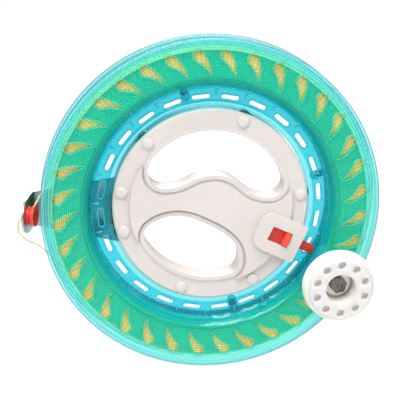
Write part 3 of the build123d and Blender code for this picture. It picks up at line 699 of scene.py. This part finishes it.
def moulded_plastic(name, low, high, roughness):
    """Opaque plastic with a faint mottle and a slightly uneven gloss."""
    material, tree, surface = shader(name)
    noise, place = add_grain(tree, surface, 240.0, 0.08, 0.0002)
    coarse = add_node(tree, "ShaderNodeTexNoise")
    coarse.inputs["Scale"].default_value = 22.0
    join(tree, place.outputs["Object"], coarse.inputs["Vector"])
    join(tree, add_blend(tree, coarse.outputs["Fac"], low, high), surface.inputs["Base Color"])
    spread = add_node(tree, "ShaderNodeMapRange")
    spread.inputs["To Min"].default_value = roughness - 0.05
    spread.inputs["To Max"].default_value = roughness + 0.07
    join(tree, coarse.outputs["Fac"], spread.inputs["Value"])
    join(tree, spread.outputs["Result"], surface.inputs["Roughness"])
    return material


def painted_light_by_height(name, heights, low, high, roughness):
    """Opaque plastic that goes from one colour to another between two heights in mm, to paint light and shade by
    height.
    """
    material, tree, surface = shader(name)
    noise, place = add_grain(tree, surface, 240.0, 0.08, 0.0002)
    split = add_node(tree, "ShaderNodeSeparateXYZ")
    rise = add_node(tree, "ShaderNodeMapRange")
    rise.inputs["From Min"].default_value = -heights[0] * mm
    rise.inputs["From Max"].default_value = -heights[1] * mm
    join(tree, place.outputs["Object"], split.inputs["Vector"])
    join(tree, split.outputs["Y"], rise.inputs["Value"])
    join(tree, add_blend(tree, rise.outputs["Result"], low, high), surface.inputs["Base Color"])
    surface.inputs["Roughness"].default_value = roughness
    return material


warm_white = moulded_plastic("warm_white_plastic", (0.625, 0.575, 0.548), (0.655, 0.605, 0.578), 0.34)
grip_cover = dressed("hub_front_cover", "grip_cover", "hub", [warm_white], bevel=0.8 * mm, flats_first=True)
back_cover = dressed("hub_rear_cover", "back_cover", "hub", [warm_white], bevel=0.3 * mm)
slider_rail = dressed("brake_retainer", "slider_rail", "hub", [warm_white], bevel=0.2 * mm)

# ------------------------------------------------------------------------------------------------
# Boss caps: the front cover's screw bosses are domed, one over each bearing's screw and one over the
# guide's, moulded in one with the cover.
# ------------------------------------------------------------------------------------------------

bearing_pitch_r = 59.0
bearing_angles = (5.1, 69.6, 133.6, 195.4, 250.3, 298.4)
guide_screw_angle = 169.7
boss_top = 16.2
cap_reach = 3.85
cap_rise = 1.1

shell = bmesh.new()
for angle in (*bearing_angles, guide_screw_angle):
    spot = Vector((bearing_pitch_r * cos(radians(angle)), -boss_top, bearing_pitch_r * sin(radians(angle)))) * mm
    dome = Matrix.Translation(spot) @ Matrix.Diagonal((cap_reach * mm, cap_rise * mm, cap_reach * mm, 1.0))
    bmesh.ops.create_uvsphere(shell, u_segments=24, v_segments=12, radius=1.0, matrix=dome)
for face in shell.faces:
    face.smooth = True
mesh = bpy.data.meshes.new("boss_caps")
shell.to_mesh(mesh)
shell.free()
mesh.materials.append(warm_white)
placed("boss_caps", mesh, "hub")

# ------------------------------------------------------------------------------------------------
# Bearings: six small ball bearings between the covers, with black seals. Each outer ring rolls in
# the wheel's race, and the inner rings are held by the cover's screws.
# ------------------------------------------------------------------------------------------------


def metal(name, low, high, roughness, grain):
    """Bare or plated metal with a fine grain and a slight change of tone."""
    material, tree, surface = shader(name)
    noise, place = add_grain(tree, surface, grain, 0.12, 0.0001)
    join(tree, add_blend(tree, noise.outputs["Fac"], low, high), surface.inputs["Base Color"])
    surface.inputs["Metallic"].default_value = 1.0
    surface.inputs["Roughness"].default_value = roughness
    return material


bearing_steel = metal("ground_bearing_steel", (0.16, 0.17, 0.18), (0.24, 0.25, 0.26), 0.28, 500.0)
seal_black = moulded_plastic("black_seal", (0.010, 0.011, 0.013), (0.020, 0.021, 0.024), 0.5)
seal_reach = (3.7, 6.35)
seal_faces = (5.5, 10.5)
seal_rise = 0.12
seal_bevel = 0.2
for number, angle in enumerate(bearing_angles, start=1):
    ring = dressed(f"bearing_outer_ring_{number}", f"outer_ring_{number}", f"bearing_{number}", [bearing_steel])
    low, high = seal_reach
    loops = []
    for face, rise in zip(seal_faces, (-seal_rise, seal_rise)):
        inner_side = [(low, face - rise), (high, face - rise)]
        loops.append(inner_side + [(high - seal_bevel, face + rise), (low, face + rise)])
    mesh = lathed(f"seals_{number}", loops, around=32)
    spot = Vector((bearing_pitch_r * cos(radians(angle)), 0.0, bearing_pitch_r * sin(radians(angle)))) * mm
    for vertex in mesh.vertices:
        vertex.co += spot
    mesh.materials.append(seal_black)
    placed(f"seals_{number}", mesh, f"bearing_{number}")
inner_rings = dressed("bearing_inner_rings", "inner_rings", "hub", [bearing_steel])

# ------------------------------------------------------------------------------------------------
# Screws: zinc-plated, with flat countersunk heads in the hub's back and pan heads on the wheel. All
# have a cross recess. The crank's nut and sleeve are plated too.
# ------------------------------------------------------------------------------------------------

plated_steel = metal("plated_steel", (0.42, 0.42, 0.40), (0.56, 0.55, 0.53), 0.32, 400.0)
pale_steel = metal("pale_steel", (0.74, 0.73, 0.70), (0.84, 0.83, 0.80), 0.42, 400.0)
recess_reach = 2.3 * mm
recess_width = 0.75 * mm
recess_depth = 1.3 * mm
recess_taper = 0.6
rim_recess_reach = 1.4 * mm
rim_head_face = -2.5 * mm
wheel_screw_pitch_r = 74.6
wheel_screw_angle = 12.5


def plus_sign(reach, half):
    """The outline of an upright cross, anticlockwise, from its reach and half its arms' width."""
    corners = [(reach, half), (half, half), (half, reach)]
    signs = ((1, 1, False), (-1, 1, True), (-1, -1, False), (1, -1, True))
    return [
        (x * sign_x, z * sign_z)
        for sign_x, sign_z, backward in signs
        for x, z in (corners[::-1] if backward else corners)
    ]


def recess_heads(piece, spots, face, reach):
    """Cuts a tapered cross into each head that faces the back. Spots are (radius, angle)."""
    shell = bmesh.new()
    for radius, angle in spots:
        middle = Vector((radius * cos(radians(angle)), 0.0, radius * sin(radians(angle)))) * mm
        rows = []
        for grow, y in ((1.0, face + recess_width), (1.0, face), (recess_taper, face - recess_depth)):
            outline = plus_sign(reach * grow, recess_width / 2 * grow)
            rows.append([shell.verts.new(middle + Vector((x, y, z))) for x, z in outline])
        for row, after in zip(rows, rows[1:]):
            for index in range(len(row)):
                nearby = (index + 1) % len(row)
                shell.faces.new((row[index], row[nearby], after[nearby], after[index]))
        shell.faces.new(rows[0])
        shell.faces.new(rows[-1])
    bmesh.ops.recalc_face_normals(shell, faces=shell.faces)
    mesh = bpy.data.meshes.new("recesses")
    shell.to_mesh(mesh)
    shell.free()
    cutter = bpy.data.objects.new("recesses", mesh)
    bpy.context.collection.objects.link(cutter)
    cut = piece.modifiers.new("cut", "BOOLEAN")
    cut.operation = "DIFFERENCE"
    cut.object = cutter
    graph = bpy.context.evaluated_depsgraph_get()
    piece.data = bpy.data.meshes.new_from_object(piece.evaluated_get(graph), depsgraph=graph)
    piece.modifiers.clear()
    bpy.data.objects.remove(cutter)


cover_spots = [(bearing_pitch_r, angle) for angle in bearing_angles]
rim_spots = [(wheel_screw_pitch_r, wheel_screw_angle + 90.0 * number) for number in range(4)]
for node, name, body, spots, face, reach in (
    ("hub_screws", "cover_screws", "hub", cover_spots, 0.0, recess_reach),
    ("guide_screw", "sheet_screw", "hub", [(bearing_pitch_r, guide_screw_angle)], 0.0, recess_reach),
    ("wheel_screws", "rim_screws", "wheel", rim_spots, rim_head_face, rim_recess_reach),
):
    fastener = dressed(node, name, body, [pale_steel if body == "wheel" else plated_steel])
    recess_heads(fastener, spots, face, reach)
for node, name in (("crank_nut", "boss_nut"), ("knob_sleeve", "bolt_sleeve")):
    fastener = dressed(node, name, "wheel", [plated_steel])

# ------------------------------------------------------------------------------------------------
# Brake: a red slider under the thumb, with its bolt's tip over the slotted ring. The thumb's ridge
# stands out of the housing's window; the plate that lies below it is painted a darker red, a painted shade.
# ------------------------------------------------------------------------------------------------

signal_red = moulded_plastic("signal_red_plastic", (0.70, 0.030, 0.018), (0.84, 0.050, 0.026), 0.3)
# Darker red below the ridge, on the plate and the bolt's tip: painted shade under the housing.
slider_red_painted_shade = painted_light_by_height("slider_red_plastic", (19.2, 20.2), (0.56, 0.024, 0.015), (0.86, 0.070, 0.032), 0.3)
thumb_slider = dressed("brake_slider", "thumb_slider", "brake", [slider_red_painted_shade], bevel=0.4 * mm)

# ------------------------------------------------------------------------------------------------
# Crank knob: white, free to turn on a steel sleeve, held by a washer, a lock washer and a dark
# hexagon bolt. Its ten grip holes go a few millimetres deep.
# ------------------------------------------------------------------------------------------------

# Paler and warmer below the face, in the grip holes and down the sides, than on the face: painted light in the
# holes.
knob_white_painted_light = painted_light_by_height("knob_white_plastic", (48.0, 52.0), (0.88, 0.86, 0.77), (0.70, 0.68, 0.68), 0.36)
for label, value in (
    ("Subsurface Weight", 0.35),
    ("Subsurface Scale", 0.003),
    ("Subsurface Radius", (1.0, 0.95, 0.85)),
):
    knob_white_painted_light.node_tree.nodes["Principled BSDF"].inputs[label].default_value = value
turning_knob = dressed("knob", "turning_knob", "knob", [knob_white_painted_light], bevel=0.5 * mm)
dark_steel = metal("dark_bolt_steel", (0.10, 0.09, 0.09), (0.19, 0.18, 0.17), 0.36, 400.0)
bolt = dressed("crank_bolt", "hex_bolt", "wheel", [dark_steel], bevel=0.3 * mm)
washer = dressed("knob_washer", "flat_washer", "wheel", [pale_steel], bevel=0.15 * mm)
spring_washer = dressed("lock_washer", "spring_washer", "wheel", [pale_steel], bevel=0.15 * mm)

# ------------------------------------------------------------------------------------------------
# Line guide: brushed stainless sheet, let into the hub's back and bent forward at the wheel's side,
# with a red plastic eyelet clinched through it.
# ------------------------------------------------------------------------------------------------

brushed, tree, surface = shader("brushed_stainless_sheet")
place = add_node(tree, "ShaderNodeTexCoord")
stretch = add_node(tree, "ShaderNodeMapping")
stretch.inputs["Scale"].default_value = (40.0, 40.0, 1600.0)
streaks = add_node(tree, "ShaderNodeTexNoise")
streaks.inputs["Scale"].default_value = 1.0
bump = add_node(tree, "ShaderNodeBump")
bump.inputs["Strength"].default_value = 0.2
bump.inputs["Distance"].default_value = 0.0001
join(tree, place.outputs["Object"], stretch.inputs["Vector"])
join(tree, stretch.outputs["Vector"], streaks.inputs["Vector"])
join(tree, streaks.outputs["Fac"], bump.inputs["Height"])
join(tree, bump.outputs["Normal"], surface.inputs["Normal"])
greys = add_blend(tree, streaks.outputs["Fac"], (0.36, 0.41, 0.39), (0.50, 0.55, 0.53))
join(tree, greys, surface.inputs["Base Color"])
surface.inputs["Metallic"].default_value = 1.0
surface.inputs["Roughness"].default_value = 0.34
guide_sheet = dressed("line_guide", "guide_sheet", "hub", [brushed], bevel=0.2 * mm)
eyelet = dressed("guide_eyelet", "line_eyelet", "hub", [signal_red], bevel=0.25 * mm)
keeper = dressed("eyelet_keeper", "eyelet_ring", "hub", [signal_red], bevel=0.2 * mm)

# ------------------------------------------------------------------------------------------------
# Studio: a pale floor below the winder, a white surround and four soft lamps, one of them behind.
# ------------------------------------------------------------------------------------------------

floor_material, tree, surface = shader("pale_floor")
noise, place = add_grain(tree, surface, 30.0, 0.02, 0.0005)
greys = add_blend(tree, noise.outputs["Fac"], (0.86,) * 3, (0.88,) * 3)
join(tree, greys, surface.inputs["Base Color"])
surface.inputs["Roughness"].default_value = 0.8
glow = add_node(tree, "ShaderNodeEmission")
glow.inputs["Strength"].default_value = 1.1
seen = add_node(tree, "ShaderNodeLightPath")
share = add_node(tree, "ShaderNodeMath", operation="MULTIPLY")
share.inputs[1].default_value = 0.85
mix = add_node(tree, "ShaderNodeMixShader")
join(tree, seen.outputs["Is Camera Ray"], share.inputs[0])
join(tree, share.outputs[0], mix.inputs["Fac"])
join(tree, surface.outputs["BSDF"], mix.inputs[1])
join(tree, glow.outputs["Emission"], mix.inputs[2])
join(tree, mix.outputs["Shader"], tree.nodes["Material Output"].inputs["Surface"])
floor_mesh = bpy.data.meshes.new("floor")
floor_reach, floor_height = 8.0, -0.22
floor_mesh.from_pydata(
    [(x * floor_reach, y * floor_reach, floor_height) for x, y in ((-1, -1), (1, -1), (1, 1), (-1, 1))],
    [],
    [(0, 1, 2, 3)],
)
floor_mesh.materials.append(floor_material)
floor = bpy.data.objects.new("floor", floor_mesh)
bpy.context.collection.objects.link(floor)

world = bpy.data.worlds.new("white_surround")
world.use_nodes = True
bpy.context.scene.world = world
tree = world.node_tree
ambient = tree.nodes["Background"]
ambient.inputs["Color"].default_value = (1.0, 1.0, 1.0, 1.0)
ambient.inputs["Strength"].default_value = 0.48
white = add_node(tree, "ShaderNodeBackground")
white.inputs["Strength"].default_value = 1.0
seen = add_node(tree, "ShaderNodeLightPath")
either = add_node(tree, "ShaderNodeMath", operation="MAXIMUM")
mix = add_node(tree, "ShaderNodeMixShader")
join(tree, seen.outputs["Is Camera Ray"], either.inputs[0])
join(tree, seen.outputs["Is Glossy Ray"], either.inputs[1])
join(tree, either.outputs[0], mix.inputs["Fac"])
join(tree, ambient.outputs["Background"], mix.inputs[1])
join(tree, white.outputs["Background"], mix.inputs[2])
join(tree, mix.outputs["Shader"], tree.nodes["World Output"].inputs["Surface"])

for name, spot, size, power in (
    ("key_lamp", (-0.5, -0.7, 1.0), 0.6, 9.0),
    ("top_lamp", (0.0, -0.35, 1.2), 0.6, 9.0),
    ("fill_lamp", (0.8, -0.9, 0.3), 0.9, 3.0),
    ("back_lamp", (0.1, 0.9, 0.7), 0.8, 6.0),
):
    lamp = bpy.data.objects.new(name, bpy.data.lights.new(name, "AREA"))
    lamp.data.shape = "DISK"
    lamp.data.size = size
    lamp.data.energy = power
    lamp.location = spot
    lamp.rotation_euler = (-Vector(spot)).to_track_quat("-Z", "Y").to_euler()
    bpy.context.collection.objects.link(lamp)
